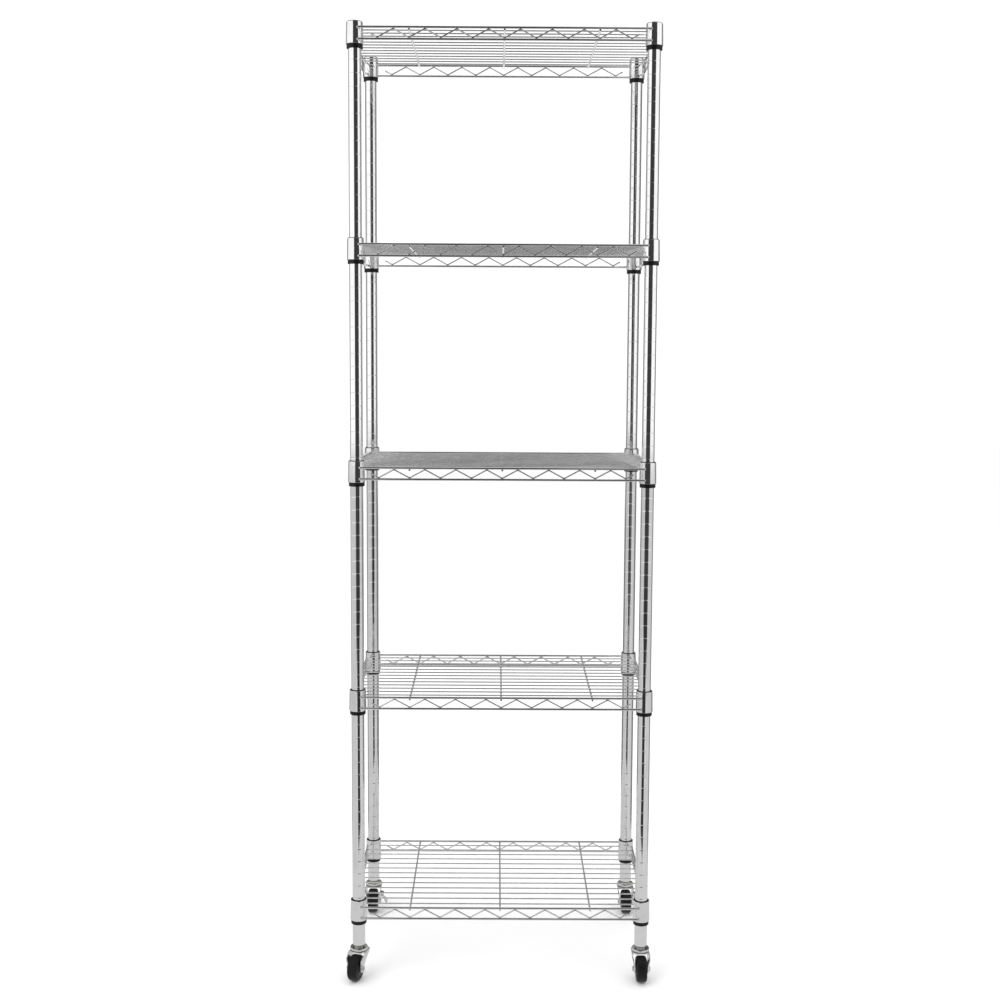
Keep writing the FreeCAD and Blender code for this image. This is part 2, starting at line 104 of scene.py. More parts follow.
COLLAR_SHOULDER = 0.0007
SLEEVE_FOOT = -0.0375
SLEEVE_TOP = 0.0131
SLEEVE_FOOT_RADIUS = 0.0156
SLEEVE_TOP_RADIUS = 0.0148
COLLAR_GAP = 0.00008
STEM_RADIUS = 0.005
RACE_RADIUS = 0.0177
HEXAGON_FLATS = 0.017
BALL_CIRCLE = 0.011
BALLS = 12
WHEEL_RADIUS = 0.0254
EDGE = 0.0003  # the small edge rounding that most pieces share
NEAR_AXIS = 0.0002  # the innermost radius of a closed top or foot

# Half sizes of the drops of weld metal, along X, Y and Z.
ENDS_OF_LONG_RIMS = (0.0021, 0.0015, 0.0024)
ENDS_OF_SIDE_RIMS = (0.0015, 0.0021, 0.0024)
LONG_TRUSS_TOUCH = (0.0021, 0.0017, 0.0009)
SIDE_TRUSS_TOUCH = (0.0017, 0.0021, 0.0009)
DECK_END = (0.0013, 0.0019, 0.0014)
DECK_CROSSING = (0.0019, 0.0015, 0.0007)
CROSS_END = (0.0021, 0.0019, 0.0009)


def middle(node):
    low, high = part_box(node)
    return (low + high) / 2


def post_axis(corner):
    centre = middle("post_" + corner)
    return Vector((centre.x, centre.y, 0))


HALF_X = post_axis("front_right").x
HALF_Y = post_axis("rear_right").y
POST_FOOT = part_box("post_front_left")[0].z
POST_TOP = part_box("post_caps")[1].z
INSERT_LIP = POST_FOOT - 0.0016


def rim_height(level):
    """The height of a shelf's top rim wires."""
    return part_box(f"shelf_{level}_rims")[1].z - RIM_WIRE / 2


# ---------------------------------------------------------------- procedural materials
class Nodes:
    """A small helper that adds and links shader nodes."""

    def __init__(self, name):
        self.material = bpy.data.materials.new(name)
        self.material.use_nodes = True
        self.tree = self.material.node_tree
        self.shader = self.tree.nodes["Principled BSDF"]
        self.coords = self.tree.nodes.new("ShaderNodeTexCoord").outputs["Object"]

    def link(self, output, target):
        self.tree.links.new(output, target)

    def noise(self, scale, stretch=(1, 1, 1), detail=3.0, rough=0.55, distort=0.0):
        mapping = self.tree.nodes.new("ShaderNodeMapping")
        mapping.inputs["Scale"].default_value = stretch
        self.link(self.coords, mapping.inputs["Vector"])
        texture = self.tree.nodes.new("ShaderNodeTexNoise")
        texture.inputs["Scale"].default_value = scale
        texture.inputs["Detail"].default_value = detail
        texture.inputs["Roughness"].default_value = rough
        texture.inputs["Distortion"].default_value = distort
        self.link(mapping.outputs["Vector"], texture.inputs["Vector"])
        return texture.outputs["Fac"]

    def ramp(self, value, stops):
        """Colours or greys along a 0 to 1 value."""
        ramp = self.tree.nodes.new("ShaderNodeValToRGB")
        elements = ramp.color_ramp.elements
        while len(elements) < len(stops):
            elements.new(0.5)
        for element, (place, colour) in zip(elements, stops):
            if not isinstance(colour, tuple):
                colour = (colour, colour, colour)
            element.position = place
            element.color = (*colour, 1.0)
        self.link(value, ramp.inputs["Fac"])
        return ramp.outputs["Color"]

    def mix(self, factor, first, second, blend="MIX"):
        mix = self.tree.nodes.new("ShaderNodeMix")
        mix.data_type = "RGBA"
        mix.blend_type = blend
        if isinstance(factor, float):
            mix.inputs[0].default_value = factor
        else:
            self.link(factor, mix.inputs[0])
        # A mix node keeps its colours in inputs 6 and 7 and in output 2.
        self.link(first, mix.inputs[6])
        self.link(second, mix.inputs[7])
        return mix.outputs[2]

    def bump(self, height, distance, strength=1.0, under=None):
        bump = self.tree.nodes.new("ShaderNodeBump")
        bump.inputs["Distance"].default_value = distance
        bump.inputs["Strength"].default_value = strength
        self.link(height, bump.inputs["Height"])
        if under is not None:
            self.link(under, bump.inputs["Normal"])
        return bump.outputs["Normal"]

    def finish(self, colour, roughness, normal=None, metallic=0.0, **values):
        self.link(colour, self.shader.inputs["Base Color"])
        self.link(roughness, self.shader.inputs["Roughness"])
        if normal is not None:
            self.link(normal, self.shader.inputs["Normal"])
        self.shader.inputs["Metallic"].default_value = metallic
        for name, value in values.items():
            self.shader.inputs[name.replace("_", " ")].default_value = value
        return self.material


def chrome(name, bright, dull, polish, haze, ripple, streak=(1, 1, 1)):
    """Bright plating: faint smudges, fine draw or polish lines, and a slight ripple under the plate."""
    n = Nodes(name)
    smudge = n.noise(22.0, detail=4.0, distort=0.6)
    lines = n.noise(900.0, stretch=streak, detail=2.0)
    fleck = n.noise(260.0, detail=5.0, rough=0.7)
    tone = n.ramp(smudge, [(0.3, dull), (0.62, bright)])
    spots = n.ramp(fleck, [(0.0, 1.0), (0.66, 1.0), (0.74, 0.86)])
    colour = n.mix(1.0, tone, spots, "MULTIPLY")
    soft = n.ramp(smudge, [(0.35, polish), (0.75, haze)])
    fine = n.ramp(lines, [(0.3, polish * 0.6), (0.8, haze * 1.2)])
    roughness = n.mix(0.5, soft, fine)
    waves = n.bump(n.noise(130.0, detail=2.0), ripple)
    normal = n.bump(lines, ripple * 0.12, under=waves)
    return n.finish(colour, roughness, normal, metallic=1.0)


def sheet_metal(name, bright, dull, polish, haze, grain):
    """Zinc plated pressed sheet: cloudy tone, fine grain, slightly warm and cool patches."""
    n = Nodes(name)
    cloud = n.noise(60.0, detail=5.0, distort=0.8)
    grit = n.noise(1500.0, detail=3.0, rough=0.65)
    patch = n.noise(25.0, detail=2.0)
    tone = n.ramp(cloud, [(0.3, dull), (0.7, bright)])
    tint = n.ramp(patch, [(0.35, (0.97, 0.985, 1.0)), (0.65, (1.0, 0.985, 0.955))])
    colour = n.mix(1.0, tone, tint, "MULTIPLY")
    roughness = n.ramp(n.mix(0.4, cloud, grit), [(0.3, polish), (0.7, haze)])
    normal = n.bump(grit, grain, under=n.bump(cloud, grain * 4))
    return n.finish(colour, roughness, normal, metallic=1.0)


def moulded(name, dark, pale, polish, haze, grain_scale, grain, dust=0.0, sheen=0.5):
    """Moulded plastic or rubber: a fine grain, uneven sheen and a little dust."""
    n = Nodes(name)
    cloud = n.noise(45.0, detail=4.0, distort=0.4)
    grit = n.noise(grain_scale, detail=3.0, rough=0.6)
    tone = n.ramp(cloud, [(0.3, dark), (0.75, pale)])
    specks = n.noise(700.0, detail=4.0, rough=0.75)
    dusty = n.ramp(specks, [(0.0, 0.0), (0.6, 0.0), (0.78, dust)])
    white = n.ramp(specks, [(0.0, (0.32, 0.31, 0.3)), (1.0, (0.42, 0.41, 0.39))])
    colour = n.mix(dusty, tone, white)
    roughness = n.ramp(n.mix(0.5, cloud, grit), [(0.3, polish), (0.7, haze)])
    normal = n.bump(grit, grain)
    return n.finish(colour, roughness, normal, Specular_IOR_Level=sheen)


MATERIALS = {
    "chrome_post": chrome("chrome_post", 0.9, 0.83, 0.03, 0.1, 0.000012, streak=(1, 1, 0.02)),
    "cap_chrome": chrome("cap_chrome", 0.88, 0.8, 0.05, 0.14, 0.00002),
    "chrome_wire": chrome("chrome_wire", 0.93, 0.82, 0.07, 0.2, 0.00002),
    "chrome_collar": chrome("chrome_collar", 0.88, 0.78, 0.05, 0.14, 0.00009),
    "zinc_steel": sheet_metal("zinc_steel", 0.72, 0.55, 0.16, 0.34, 0.000012),
    "caster_plate": sheet_metal("caster_plate", 0.84, 0.7, 0.1, 0.26, 0.00001),
    "ball_steel": chrome("ball_steel", 0.8, 0.7, 0.06, 0.16, 0.000004),
    "sleeve_plastic": moulded("sleeve_plastic", 0.002, 0.005, 0.34, 0.5, 1600.0, 0.00002, 0.03, sheen=0.3),
    "insert_plastic": moulded("insert_plastic", 0.03, 0.055, 0.4, 0.6, 1400.0, 0.00003, 0.15),
    "tyre_rubber": moulded("tyre_rubber", 0.002, 0.006, 0.4, 0.62, 1100.0, 0.00005, 0.07, sheen=0.3),
    "hub_plastic": moulded("hub_plastic", 0.005, 0.012, 0.32, 0.5, 1500.0, 0.00003, 0.1, sheen=0.4),
}
WELD = sheet_metal("weld_metal", 0.46, 0.2, 0.18, 0.45, 0.00004)
DECK_PLATING = chrome("chrome_wire_deck", 0.95, 0.86, 0.16, 0.34, 0.00002)


# ---------------------------------------------------------------- mesh helpers
def supported(outline, closed, near=0.0003, longest=0.002):
    """Adds a point near both ends of each long side, so that smooth shading bends only at the corners."""
    made = []
    following = outline[1:] + (outline[:1] if closed else [])
    for (r0, z0), (r1, z1) in zip(outline, following):
        made.append((r0, z0))
        length = math.hypot(r1 - r0, z1 - z0)
        if length > longest:
            for share in (near / length, 1 - near / length):
                made.append((r0 + (r1 - r0) * share, z0 + (z1 - z0) * share))
    return made if closed else made + outline[-1:]


class Shape:
    """Collects the surfaces of one piece."""

    def __init__(self):
        self.verts = []
        self.faces = []

    def grid(self, rings, closed_along=False, caps=False):
        """Joins equal rings of points by quads, and caps the first and last ring if asked."""
        base = len(self.verts)
        count = len(rings[0])
        for ring in rings:
            self.verts.extend(ring)
        along = len(rings) if closed_along else len(rings) - 1
        for i in range(along):
            j = (i + 1) % len(rings)
            for k in range(count):
                m = (k + 1) % count
                self.faces.append((base + i * count + k, base + i * count + m,
                                   base + j * count + m, base + j * count + k))
        if caps:
            self.faces.append(tuple(base + k for k in reversed(range(count))))
            self.faces.append(tuple(base + (len(rings) - 1) * count + k for k in range(count)))

    def lathe(self, outline, place, sides=64, closed=True):
        """A ring turned about local Z from a closed (radius, height) outline."""
        rings = []
        for radius, height in supported(outline, closed):
            ring = []
            for k in range(sides):
                turn = 2 * math.pi * k / sides
                ring.append(place @ Vector((radius * math.cos(turn), radius * math.sin(turn), height)))
            rings.append(ring)
        self.grid(rings, closed_along=closed, caps=not closed)

    def shell(self, outline, place, start, end, sides=32):
        """Part of a turned ring, between two angles, with flat ends."""
        rings = []
        for k in range(sides + 1):
            turn = start + (end - start) * k / sides
            rings.append([place @ Vector((radius * math.cos(turn), radius * math.sin(turn), height))
                          for radius, height in supported(outline, True)])
        self.grid(rings, caps=True)

    def wire(self, path, diameter, sides=16, end_round=0.0003):
        """A round wire along a path, whose ends have a small rounded edge."""
        radius = diameter / 2
        tangents = []
        for i, point in enumerate(path):
            before = path[max(i - 1, 0)]
            after = path[min(i + 1, len(path) - 1)]
            tangents.append((after - before).normalized())
        side = tangents[0].orthogonal().normalized()
        rings = []

        def ring(centre, tangent, r):
            up = tangent.cross(side)
            turns = [2 * math.pi * k / sides for k in range(sides)]
            return [centre + (side * math.cos(turn) + up * math.sin(turn)) * r for turn in turns]

        for i, (point, tangent) in enumerate(zip(path, tangents)):
            side = (side - tangent * side.dot(tangent)).normalized()
            # The end's rounding as steps along the wire and inwards, from the tip on.
            tip = [(0, 1), (0.3, 0.3), (1, 0), (2, 0)]
            if i == 0:
                rings.extend(ring(point + tangent * end_round * on, tangent, radius - end_round * inset)
                             for on, inset in tip)
            elif i == len(path) - 1:
                rings.extend(ring(point - tangent * end_round * on, tangent, radius - end_round * inset)
                             for on, inset in reversed(tip))
            else:
                rings.append(ring(point, tangent, radius))
        self.grid(rings, caps=True)

    def blob(self, centre, size, seed, sides=10, rows=7):
        """A small uneven drop of weld metal."""
        rings = []
        for i in range(1, rows):
            lift = math.pi * i / rows
            ring = []
            for k in range(sides):
                turn = 2 * math.pi * k / sides
                around = Vector((math.cos(turn), math.sin(turn), 0))
                unit = around * math.sin(lift) - Vector((0, 0, math.cos(lift)))
                swell = 1 + 0.28 * noise.noise(unit * 1.7 + Vector((seed * 3.1, seed * 1.7, seed * 0.9)))
                ring.append(centre + Vector((unit.x * size[0], unit.y * size[1], unit.z * size[2])) * swell)
            rings.append(ring)
        self.grid(rings, caps=True)

    def prism(self, corners, run, bevel):
        """A straight bar from a flat outline, with small bevels at both ends."""
        centre = sum(corners, Vector()) / len(corners)
        along = run.normalized()

        def at(shift, inset):
            spokes = [corner - centre for corner in corners]
            return [centre + spoke * (1 - inset / spoke.length) + along * shift for spoke in spokes]

        self.grid([at(0, bevel), at(bevel, 0), at(run.length - bevel, 0), at(run.length, bevel)], caps=True)

    def build(self, name, body, slot, nodes=(), material=None, angle=38.0):
        mesh = bpy.data.meshes.new(name)
        mesh.from_pydata([tuple(v) for v in self.verts], [], self.faces)
        mesh.update()
        recalculate(mesh)
        mesh.shade_smooth()
        mesh.set_sharp_from_angle(angle=math.radians(angle))
        mesh.materials.append(material or MATERIALS[slot])
        piece = bpy.data.objects.new(name, mesh)
        scene.collection.objects.link(piece)
        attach(piece, body)
        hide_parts(*nodes)


def recalculate(mesh):
    """Turns every face to look outwards."""
    work = bmesh.new()
    work.from_mesh(mesh)
    bmesh.ops.recalc_face_normals(work, faces=work.faces)
    work.to_mesh(mesh)
    work.free()


def upright(axis, height=0.0):
    return Matrix.Translation(Vector((axis.x, axis.y, height)))


def arc(centre, radius, start, end, steps):
    """Points of an arc in an outline, angles in degrees."""
    points = []
    for k in range(steps + 1):
        turn = math.radians(start + (end - start) * k / steps)
        points.append((centre[0] + radius * math.cos(turn), centre[1] + radius * math.sin(turn)))
    return points


# ---------------------------------------------------------------- posts and what is fixed to them
def groove_outline(foot, top):
    """The tube's wall, from its foot up the outside with a rolled groove every inch, and down the bore."""
    dip = [(-0.0012, 0.0), (-0.001, 0.08), (-0.0007, 0.55), (-0.0005, 0.9), (-0.0002, 1.0),
           (0.0002, 1.0), (0.0005, 0.9), (0.0007, 0.55), (0.001, 0.08), (0.0012, 0.0)]
    outline = [(POST_RADIUS - EDGE, foot), (POST_RADIUS, foot + EDGE)]
    for number in range(GROOVES):
        height = POST_FOOT + FIRST_GROOVE_UP + number * GROOVE_PITCH
        outline.extend((POST_RADIUS - share * GROOVE_DEPTH, height + rise) for rise, share in dip)
    outline += [(POST_RADIUS, top - EDGE), (POST_RADIUS - EDGE, top)]
    return outline + [(POST_BORE, top), (POST_BORE, foot)]


def heights(node):
    low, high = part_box(node)
    return low.z, high.z


def on_every_post(outline, sides=64, closed=True):
    shape = Shape()
    for corner in CORNERS:
        shape.lathe(outline, upright(post_axis(corner)), sides=sides, closed=closed)
    return shape


def make_posts():
    outline = groove_outline(POST_FOOT, POST_TOP - CAP_HEAD)
    for corner in CORNERS:
        post = Shape()
        post.lathe(outline, upright(post_axis(corner)), sides=56)
        post.build("tube_" + corner, "rack", "chrome_post", ["post_" + corner], angle=60)


def make_caps():
    """Slightly domed plugs with a hollow spigot in the tubes' tops."""
    seat = POST_TOP - CAP_HEAD
    head = POST_RADIUS - 0.0002
    rounding = 0.0008
    spigot_bore = POST_BORE - 0.0016
    spigot_foot, spigot_roof = seat - 0.012, seat - 0.001
    outline = [(NEAR_AXIS, POST_TOP), (0.006, POST_TOP - 0.00002), (0.0105, POST_TOP - 0.00012)]
    outline += arc((head - rounding, POST_TOP - 0.00095), rounding, 80, 0, 6)
    outline += [(head, seat), (POST_BORE, seat), (POST_BORE, spigot_foot), (spigot_bore, spigot_foot)]
    outline += [(spigot_bore, spigot_roof), (NEAR_AXIS, spigot_roof)]
    on_every_post(outline).build("caps", "rack", "cap_chrome", ["post_caps"])


def make_inserts():
    """Sockets in the tubes' feet that take the stems, with a lip under the tube."""
    outside = POST_RADIUS - EDGE
    roof = POST_FOOT + 0.026
    outline = [(STEM_RADIUS, INSERT_LIP + 0.0002), (STEM_RADIUS + 0.0002, INSERT_LIP)]
    outline += [(outside - 0.0005, INSERT_LIP), (outside, INSERT_LIP + 0.0005), (outside, POST_FOOT)]
    outline += [(POST_BORE, POST_FOOT), (POST_BORE, roof), (STEM_RADIUS, roof)]
    on_every_post(outline).build("inserts", "rack", "insert_plastic", ["post_foot_inserts"])


def make_races():
    """Pressed cups over the forks' crowns."""
    low, high = heights("caster_races")
    rounding, plate = 0.0012, 0.002
    inside = RACE_RADIUS - 0.0016
    outline = [(STEM_RADIUS, high), (RACE_RADIUS - 0.0014, high)]
    outline += arc((RACE_RADIUS - rounding, high - rounding), rounding, 80, 0, 6)
    outline += [(RACE_RADIUS, low + EDGE), (RACE_RADIUS - EDGE, low)]
    outline += [(inside + EDGE, low), (inside, low + EDGE)]
    outline += [(inside, high - plate), (STEM_RADIUS, high - plate)]
    on_every_post(outline, sides=72).build("upper_races", "rack", "caster_plate", ["caster_races"])


def make_stems():
    """Stem, kingpin and riveted head in one turned piece, with a hexagon between the race and the insert."""
    low, high = heights("caster_stems")
    head = low + 0.0019
    outline = [(0.0058, low), (0.0066, low + EDGE), (0.0074, head), (STEM_RADIUS, head)]
    outline += [(STEM_RADIUS, high - 0.001), (0.004, high)]
    stems = on_every_post(outline, sides=32, closed=False)
    foot = heights("caster_races")[1]
    for corner in CORNERS:
        place = upright(post_axis(corner), foot)
        turns = [math.radians(60 * k) for k in range(6)]
        spokes = [Vector((math.sin(turn), math.cos(turn), 0)) for turn in turns]
        hexagon = [place @ (spoke * HEXAGON_FLATS / math.sqrt(3)) for spoke in spokes]
        stems.prism(hexagon, Vector((0, 0, INSERT_LIP - foot)), 0.0004)
    stems.build("stems", "rack", "zinc_steel", ["caster_stems"])


def make_balls():
    low, high = heights("caster_balls")
    outline = arc((0, 0), (high - low) / 2, -84, 84, 10)
    balls = Shape()
    for corner in CORNERS:
        place = upright(post_axis(corner), (low + high) / 2)
        for number in range(BALLS):
            turn = 2 * math.pi * number / BALLS
            centre = place @ (Vector((math.cos(turn), math.sin(turn), 0)) * BALL_CIRCLE)
            balls.lathe(outline, Matrix.Translation(centre), sides=16, closed=False)
    balls.build("bearing_balls", "rack", "ball_steel", ["caster_balls"])


# ---------------------------------------------------------------- sleeves
def sleeve_radius(height):
    share = (SLEEVE_TOP - height) / (SLEEVE_TOP - SLEEVE_FOOT)
    return SLEEVE_TOP_RADIUS + share * (SLEEVE_FOOT_RADIUS - SLEEVE_TOP_RADIUS)


def make_sleeves(level):
    """Two half shells per post, split at the sides, with a soft foot edge and a rib for the groove."""
    bore = POST_RADIUS + 0.00005
    foot, top = SLEEVE_FOOT, SLEEVE_TOP
    outer = sleeve_radius(foot)
    rib_foot, rib_top, rib_height = -0.0081, -0.0059, 0.0004
    outline = [(bore, foot + EDGE), (bore + EDGE, foot)]
    outline += [(outer - 0.0006, foot), (outer - 0.00018, foot + 0.00018), (outer, foot + 0.0006)]
    outline += [(sleeve_radius(foot + 0.0035), foot + 0.0035), (sleeve_radius(top), top - 0.0004)]
    outline += [(sleeve_radius(top) - EDGE, top), (bore + 0.0002, top), (bore, top - EDGE)]
    outline += [(bore, rib_top), (bore - rib_height, rib_top - 0.0005)]
    outline += [(bore - rib_height, rib_foot + 0.0005), (bore, rib_foot)]
    gap = EDGE / bore
    halves = Shape()
    for corner in CORNERS:
        place = upright(post_axis(corner), rim_height(level))
        halves.shell(outline, place, gap, math.pi - gap, sides=30)
        halves.shell(outline, place, math.pi + gap, 2 * math.pi - gap, sides=30)
    halves.build(f"half_sleeves_{level}", "rack", "sleeve_plastic", [f"sleeves_{level}"])


# ---------------------------------------------------------------- shelves
def collar_outline():
    foot_bore = sleeve_radius(COLLAR_FOOT) + COLLAR_GAP
    top_bore = sleeve_radius(COLLAR_TOP) + COLLAR_GAP
    rounding = 0.0005
    outline = [(foot_bore, COLLAR_FOOT + 0.0002), (foot_bore + 0.0002, COLLAR_FOOT)]
    outline += arc((COLLAR_FOOT_RADIUS - rounding, COLLAR_FOOT + rounding), rounding, -90, 0, 4)
    outline += [(COLLAR_FOOT_RADIUS - 0.0002, COLLAR_FOOT + 0.012)]
    outline += [(COLLAR_TOP_RADIUS + 0.0002, COLLAR_TOP - 0.009)]
    shoulder = (COLLAR_TOP_RADIUS - COLLAR_SHOULDER, COLLAR_TOP - COLLAR_SHOULDER)
    outline += arc(shoulder, COLLAR_SHOULDER, 0, 90, 5)
    outline += [(top_bore + 0.0002, COLLAR_TOP), (top_bore, COLLAR_TOP - 0.0002)]
    return outline


def rounded(corners, bend, steps=5):
    """The corners as a path, each rounded by an arc."""
    path = [corners[0]]
    for before, corner, after in zip(corners, corners[1:], corners[2:]):
        back, ahead = (before - corner).normalized(), (after - corner).normalized()
        half = back.angle(ahead) / 2
        centre = corner + (back + ahead).normalized() * (bend / math.sin(half))
        start = corner + back * (bend / math.tan(half)) - centre
        end = corner + ahead * (bend / math.tan(half)) - centre
        path.append(centre + start + back * 0.0005)
        for k in range(steps + 1):
            path.append(centre + start.slerp(end, k / steps).normalized() * bend)
        path.append(centre + end + ahead * 0.0005)
    return path + [corners[-1]]


def zigzag(valleys, place):
    """The path of one truss wire, and the points where it touches the rims."""
    centre = -RIM_SPACING / 2
    half = TRUSS_PITCH / 2
    swing = RIM_SPACING / 2 - TRUSS_INSET
    slant = math.atan2(2 * swing, half)
    rounding = TRUSS_BEND * (1 / math.cos(slant) - 1)
    first = -(valleys - 1) * half
    corners = [place(first - half / 2, centre)]
    touches = []
    for step in range(2 * valleys - 1):
        way = -1 if step % 2 == 0 else 1
        corners.append(place(first + step * half, centre + way * (swing + rounding)))
        touches.append(place(first + step * half, centre + way * (RIM_SPACING / 2 - 0.0022)))
    corners.append(place(-first + half / 2, centre))
    return rounded(corners, TRUSS_BEND), touches


def straight(start, end, pieces=1):
    return [start.lerp(end, k / pieces) for k in range(pieces + 1)]


def add_frame(rim, rims, trusses, welds, seeds):
    """The rim wires on all four sides, their zigzags, and the welds at collars and touching points."""
    reach_x = HALF_X - RIM_END_IN
    reach_y = HALF_Y - SIDE_RIM_OUT / 2
    for side in (-1, 1):
        y = side * (HALF_Y + FRONT_RIM_OUT)
        x = side * (HALF_X + SIDE_RIM_OUT)
        for drop in (0, RIM_SPACING):
            z = rim - drop
            rims.wire(straight(Vector((-reach_x, y, z)), Vector((reach_x, y, z)), 4), RIM_WIRE, 24, 0.0006)
            rims.wire(straight(Vector((x, -reach_y, z)), Vector((x, reach_y, z)), 4), RIM_WIRE, 24, 0.0006)
            for way in (-1, 1):
                seed = next(seeds)
                on_long = Vector((way * (reach_x - EDGE), y - side * 0.001, z))
                on_side = Vector((x - side * 0.001, way * (reach_y - EDGE), z))
                welds.blob(on_long, ENDS_OF_LONG_RIMS, seed)
                welds.blob(on_side, ENDS_OF_SIDE_RIMS, seed + 0.5)
        for valleys, size, place in (
                (VALLEYS["front"], LONG_TRUSS_TOUCH, lambda along, height: Vector((along, y, rim + height))),
                (VALLEYS["side"], SIDE_TRUSS_TOUCH, lambda along, height: Vector((x, along, rim + height)))):
            path, touches = zigzag(valleys, place)
            trusses.wire(path, TRUSS_WIRE, 14)
            for touch in touches:
                welds.blob(touch, size, next(seeds))


def add_deck(rim, decks, welds, seeds):
    """The deck wires. The outermost two end at the collars, the others under the side rims."""
    z = rim - DECK_DROP
    for number in range(DECK_COUNT):
        y = (number - (DECK_COUNT - 1) / 2) * DECK_PITCH
        beside = HALF_Y - abs(y)
        if beside < BESIDE_COLLAR:
            reach = HALF_X - math.sqrt(COLLAR_MIDDLE_RADIUS ** 2 - beside ** 2) + 0.001
        else:
            reach = HALF_X + SIDE_RIM_OUT - RIM_WIRE / 2 + WELD_DEPTH
        decks.wire(straight(Vector((-reach, y, z)), Vector((reach, y, z)), 4), DECK_WIRE, 16)
        for way in (-1, 1):
            end = Vector((way * (reach - 0.0009), y, z - 0.0002))
            welds.blob(end, DECK_END, next(seeds), sides=8, rows=6)
        for x in CROSS_PLACES:
            crossing = Vector((x, y, z - DECK_WIRE / 2 + 0.0002))
            welds.blob(crossing, DECK_CROSSING, next(seeds), sides=8, rows=6)


def add_cross_wires(rim, crosses, welds, seeds):
    z = rim - CROSS_DROP
    for x in CROSS_PLACES:
        path = straight(Vector((x, -CROSS_REACH, z)), Vector((x, CROSS_REACH, z)), 4)
        crosses.wire(path, CROSS_WIRE, 20, 0.0004)
        for side in (-1, 1):
            end = Vector((x, side * (HALF_Y + FRONT_RIM_OUT - 0.0006), rim - 0.0021))
            welds.blob(end, CROSS_END, next(seeds))


def make_shelf(level):
    rim = rim_height(level)
    body = f"shelf_{level}"
    collars, rims, trusses, decks, crosses, welds = (Shape() for _ in range(6))
    outline = collar_outline()
    for corner in CORNERS:
        collars.lathe(outline, upright(post_axis(corner), rim), sides=72)
    seeds = itertools.count(level * 100 + 1)
    add_frame(rim, rims, trusses, welds, seeds)
    add_deck(rim, decks, welds, seeds)
    add_cross_wires(rim, crosses, welds, seeds)

    collars.build(f"collar_rings_{level}", body, "chrome_collar", [f"shelf_{level}_collars"])
    rims.build(f"rim_wires_{level}", body, "chrome_wire", [f"shelf_{level}_rims"])
    trusses.build(f"truss_wires_{level}", body, "chrome_wire", [f"shelf_{level}_trusses"])
    decks.build(f"deck_wires_{level}", body, "chrome_wire", [f"shelf_{level}_deck_wires"],
                material=DECK_PLATING)
    crosses.build(f"cross_wires_{level}", body, "chrome_wire", [f"shelf_{level}_cross_wires"])
    welds.build(f"welds_{level}", body, "chrome_wire", material=WELD, angle=80)


# ---------------------------------------------------------------- casters
def axle_frame(corner):
    """The wheel's own frame: local Z runs along the axle."""
    centre = middle("tyre_" + corner)
    swivel = post_axis(corner)
    out = Vector((centre.x - swivel.x, centre.y - swivel.y, 0)).normalized()
    along = Vector((-out.y, out.x, 0))
    turn = Matrix((out, Vector((0, 0, 1)), along)).transposed()
    if turn.determinant() < 0:
        turn = Matrix((out, Vector((0, 0, -1)), along)).transposed()
    return Matrix.Translation(Vector((centre.x, centre.y, WHEEL_RADIUS))) @ turn.to_4x4()


def make_wheel(corner):
    place = axle_frame(corner)
    half, bore, shoulder = 0.0105, 0.018, 0.005
    right = [(bore, half - EDGE), (bore + EDGE, half), (WHEEL_RADIUS - shoulder - EDGE, half)]
    right += arc((WHEEL_RADIUS - shoulder, half - shoulder), shoulder, 88, 4, 10)
    right += [(WHEEL_RADIUS, half - shoulder - 0.0004), (WHEEL_RADIUS, 0.0005)]
    tyre = Shape()
    seam = [(WHEEL_RADIUS - 0.00002, 0.00025)]
    tyre.lathe(right + seam + [(r, -h) for r, h in reversed(right + seam)], place, sides=112)
    tyre.build("rubber_" + corner, "wheel_" + corner, "tyre_rubber", ["tyre_" + corner])

    hub = Shape()
    end, flange, web = 0.0123, 0.0112, 0.003
    axle_bore, boss, dish, rim = 0.00308, 0.0075, 0.0146, 0.016
    face = [(axle_bore, end - 0.0004), (0.0035, end), (boss - 0.0005, end), (boss, end - 0.0005)]
    face += [(boss, flange + EDGE), (boss + EDGE, flange), (dish - 0.0004, flange), (dish, flange - 0.0004)]
    face += [(dish, web + 0.0006), (dish + EDGE, web), (rim - 0.0004, web), (rim, web + 0.0006)]
    face += [(rim, half - 0.0004), (rim + 0.0004, half), (bore - EDGE, half), (bore, half - EDGE)]
    hub.lathe(face + [(r, -h) for r, h in reversed(face)], place, sides=80)
    hub.build("moulded_hub_" + corner, "wheel_" + corner, "hub_plastic", ["hub_" + corner])


def soften(node, slot, width):
    """Gives a carried-over CAD node its material and slightly rounded edges."""
    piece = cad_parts[node]
    piece.data.materials.clear()
    piece.data.materials.append(MATERIALS[slot])
    bevel = piece.modifiers.new("edges", "BEVEL")
    bevel.width = width
    bevel.segments = 2
    bevel.limit_method = "ANGLE"
    bevel.angle_limit = math.radians(40)
    bevel.harden_normals = True


make_posts()
make_caps()
make_inserts()
make_races()
make_stems()
make_balls()
for level in range(1, 6):
    make_sleeves(level)
    make_shelf(level)
for corner in CORNERS:
    make_wheel(corner)
    soften("fork_" + corner, "caster_plate", EDGE)
    soften("axle_" + corner, "zinc_steel", 0.0002)
    if "brake_lever_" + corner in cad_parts:
        soften("brake_lever_" + corner, "caster_plate", EDGE)
        soften("brake_pin_" + corner, "zinc_steel", 0.0001)


# ---------------------------------------------------------------- studio
def plain(name, colour, roughness=0.6):
    n = Nodes(name)
    grain = n.noise(3.0, detail=2.0)
    tone = n.ramp(grain, [(0.3, colour * 0.985), (0.7, colour)])
    return n.finish(tone, n.ramp(grain, [(0.0, roughness), (1.0, roughness)]), Specular_IOR_Level=0.0)


